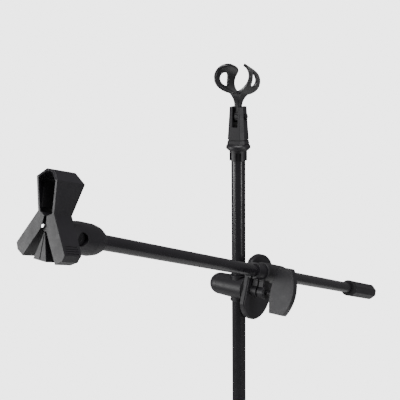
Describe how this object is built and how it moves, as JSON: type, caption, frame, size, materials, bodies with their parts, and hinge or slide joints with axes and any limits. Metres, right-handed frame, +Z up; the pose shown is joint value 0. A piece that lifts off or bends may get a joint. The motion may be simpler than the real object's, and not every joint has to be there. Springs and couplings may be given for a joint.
{
  "type": "boom microphone stand",
  "caption": "Folding tripod microphone stand with a sliding upright, a cross clamp with a tilting boom, a spring clip on the boom and a sprung cradle on top.",
  "frame": {"origin": "on the floor, under the axis of the upright tube", "axes": "+Z up, +X the way the boom's counter end points, the spring clip is on the -X side"},
  "size_m": [0.6435, 0.5894, 1.1968],
  "materials": {
    "coated_steel": "satin black powder coat",
    "black_plastic": "fine moulded texture",
    "flexible_plastic": "smooth moulded nylon",
    "knob_plastic": "moulded, slight sheen",
    "black_steel": "black oxide",
    "bright_steel": "plated",
    "rubber": "matt"
  },
  "bodies": {
    "base": {"lower_tube": "coated_steel", "lower_tube_plug": "black_plastic", "leg_hub": "black_plastic", "hub_screw": "black_steel", "leg_hinge_pins": "black_steel", "clutch_body": "black_plastic", "clutch_bush": "black_plastic"},
    "clutch_knob": {"clutch_knob": "knob_plastic", "clutch_stud": "black_steel"},
    "mast": {"mast_tube": "coated_steel", "mast_foot_bush": "black_plastic", "grip_collar": "black_plastic", "holder_flange": "black_plastic"},
    "clamp_liner": {"clamp_liner": "black_plastic"},
    "clamp_barrel": {"clamp_barrel": "black_plastic", "barrel_end_cap": "black_plastic", "clamp_stud": "black_steel", "friction_washer": "rubber"},
    "boom_clamp": {"boom_clamp": "black_plastic", "boom_bush": "black_plastic", "clamp_thrust_washer": "black_steel"},
    "clamp_knob": {"clamp_knob": "knob_plastic"},
    "boom": {"boom_tube": "coated_steel", "boom_end_grip": "black_plastic", "boom_end_collar": "rubber", "boom_tip_stud": "black_steel"},
    "knuckle": {"knuckle": "black_plastic", "knuckle_screw": "black_steel", "knuckle_nut": "black_steel"},
    "clip_bracket": {"clip_bracket": "black_plastic", "clip_hinge_pin": "bright_steel", "clip_spring": "bright_steel"},
    "jaw_left": {"jaw_left": "black_plastic", "jaw_pad_left": "rubber"},
    "jaw_right": {"jaw_right": "black_plastic", "jaw_pad_right": "rubber"},
    "holder": {"holder_base": "black_plastic", "cradle_screw": "black_steel", "cradle_nut": "black_steel"},
    "cradle": {"mic_cradle": "flexible_plastic"},
    "leg_1": {"leg_1_root": "black_plastic", "leg_1_tube": "coated_steel", "leg_1_foot": "rubber"},
    "leg_2": {"leg_2_root": "black_plastic", "leg_2_tube": "coated_steel", "leg_2_foot": "rubber"},
    "leg_3": {"leg_3_root": "black_plastic", "leg_3_tube": "coated_steel", "leg_3_foot": "rubber"}
  },
  "joints": [
    {"name": "leg_1_fold", "type": "hinge", "parent": "base", "child": "leg_1", "pos_m": [-0.03, 0, 0.182], "axis": [0, -1, 0], "range_deg": [0, 58]},
    {"name": "leg_2_fold", "type": "hinge", "parent": "base", "child": "leg_2", "pos_m": [0.015, 0.02598, 0.182], "axis": [-0.866, 0.5, 0], "range_deg": [0, 58]},
    {"name": "leg_3_fold", "type": "hinge", "parent": "base", "child": "leg_3", "pos_m": [0.015, -0.02598, 0.182], "axis": [0.866, 0.5, 0], "range_deg": [0, 58]},
    {"name": "height_slide", "type": "slide", "parent": "base", "child": "mast", "axis": [0, 0, 1], "range_m": [-0.14, 0.2]},
    {"name": "clutch_knob_turn", "type": "hinge", "parent": "base", "child": "clutch_knob", "pos_m": [0, -0.02, 0.59], "axis": [0, -1, 0], "continuous": true},
    {"name": "clamp_slide", "type": "slide", "parent": "mast", "child": "clamp_liner", "axis": [0, 0, 1], "range_m": [-0.1, 0.05]},
    {"name": "clamp_swivel", "type": "hinge", "parent": "clamp_liner", "child": "clamp_barrel", "pos_m": [0, 0, 0.94], "axis": [0, 0, 1], "continuous": true},
    {"name": "boom_tilt", "type": "hinge", "parent": "clamp_barrel", "child": "boom_clamp", "pos_m": [0, 0, 0.94], "axis": [0, 1, 0], "range_deg": [-55, 50]},
    {"name": "clamp_knob_turn", "type": "hinge", "parent": "clamp_barrel", "child": "clamp_knob", "pos_m": [0, -0.05, 0.94], "axis": [0, -1, 0], "continuous": true},
    {"name": "boom_slide", "type": "slide", "parent": "boom_clamp", "child": "boom", "axis": [0.9415, 0, -0.3371], "range_m": [-0.18, 0.1]},
    {"name": "knuckle_swivel", "type": "hinge", "parent": "boom", "child": "knuckle", "pos_m": [-0.28905, -0.0285, 1.06718], "axis": [0.9415, 0, -0.3371], "continuous": true},
    {"name": "clip_tilt", "type": "hinge", "parent": "knuckle", "child": "clip_bracket", "pos_m": [-0.28905, -0.0285, 1.06718], "axis": [0.0147, 0.999, 0.0411], "range_deg": [-25, 33]},
    {"name": "jaw_left_open", "type": "hinge", "parent": "clip_bracket", "child": "jaw_left", "pos_m": [-0.30898, -0.02873, 1.07986], "axis": [-0.9636, 0.0032, 0.2673], "range_deg": [0, 15], "stiffness_Nm_per_rad": 0.25, "springref_deg": -34.38},
    {"name": "jaw_right_open", "type": "hinge", "parent": "clip_bracket", "child": "jaw_right", "pos_m": [-0.30898, -0.02873, 1.07986], "axis": [0.9636, -0.0032, -0.2673], "range_deg": [0, 15], "stiffness_Nm_per_rad": 0.25, "springref_deg": -34.38},
    {"name": "holder_swivel", "type": "hinge", "parent": "mast", "child": "holder", "pos_m": [0, 0, 1.108], "axis": [0, 0, 1], "continuous": true},
    {"name": "cradle_tilt", "type": "hinge", "parent": "holder", "child": "cradle", "pos_m": [0, 0, 1.1385], "axis": [-0.1736, 0.9848, 0], "range_deg": [-50, 40]}
  ],
  "couplings": [
    {"joint": "jaw_right_open", "follows": "jaw_left_open", "ratio": 1}
  ]
}
